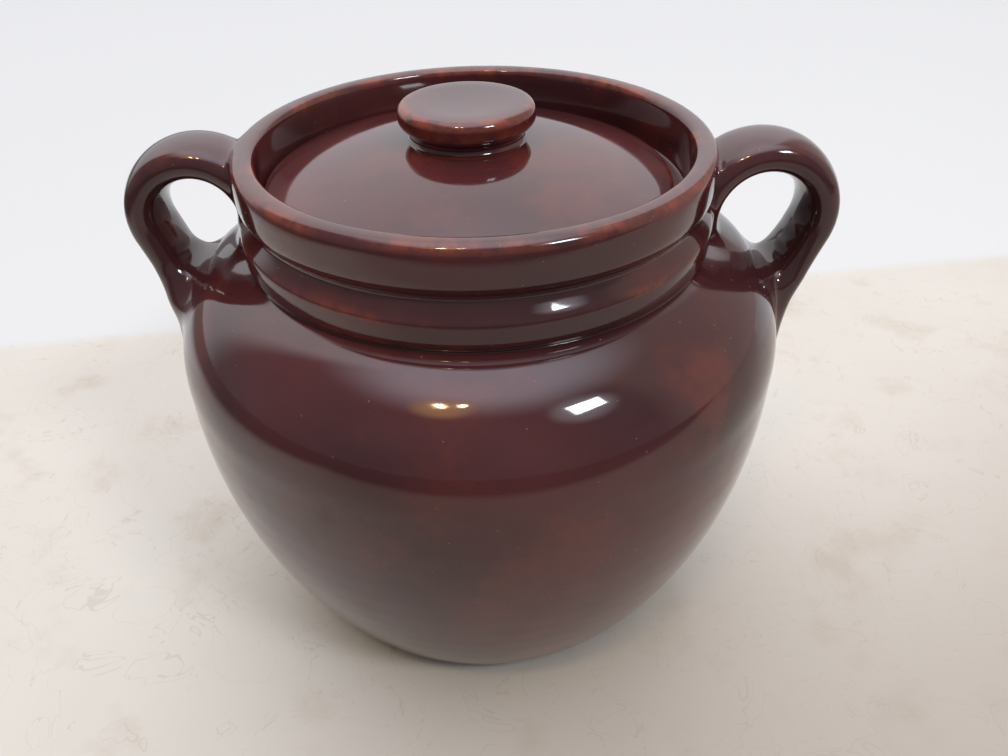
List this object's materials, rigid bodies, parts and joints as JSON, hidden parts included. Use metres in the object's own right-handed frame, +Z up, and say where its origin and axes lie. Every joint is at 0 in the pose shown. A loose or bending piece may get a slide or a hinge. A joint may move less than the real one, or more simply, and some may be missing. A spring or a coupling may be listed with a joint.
{
  "type": "bean pot",
  "caption": "Round-bellied stoneware pot with a ringed neck, strap handles and a loose domed lid with a flat button knob, for slow baking and serving.",
  "frame": {"origin": "centre of the pot's foot, on the surface that it stands on", "axes": "+Z up along the axis of the mouth, +X towards the handle whose bend is the wider one, +Y towards the back"},
  "size_m": [0.2033, 0.1784, 0.1625],
  "materials": {
    "brown_glaze": "glossy dark brown glaze that breaks to rust on edges"
  },
  "bodies": {
    "pot": {"pot_body": "brown_glaze", "handle_left": "brown_glaze", "handle_right": "brown_glaze"},
    "lid": {"lid": "brown_glaze", "lid_knob": "brown_glaze"}
  },
  "joints": [
    {"name": "lid_lift", "type": "slide", "parent": "pot", "child": "lid", "axis": [0, 0, 1], "range_m": [0, 0.06]}
  ]
}
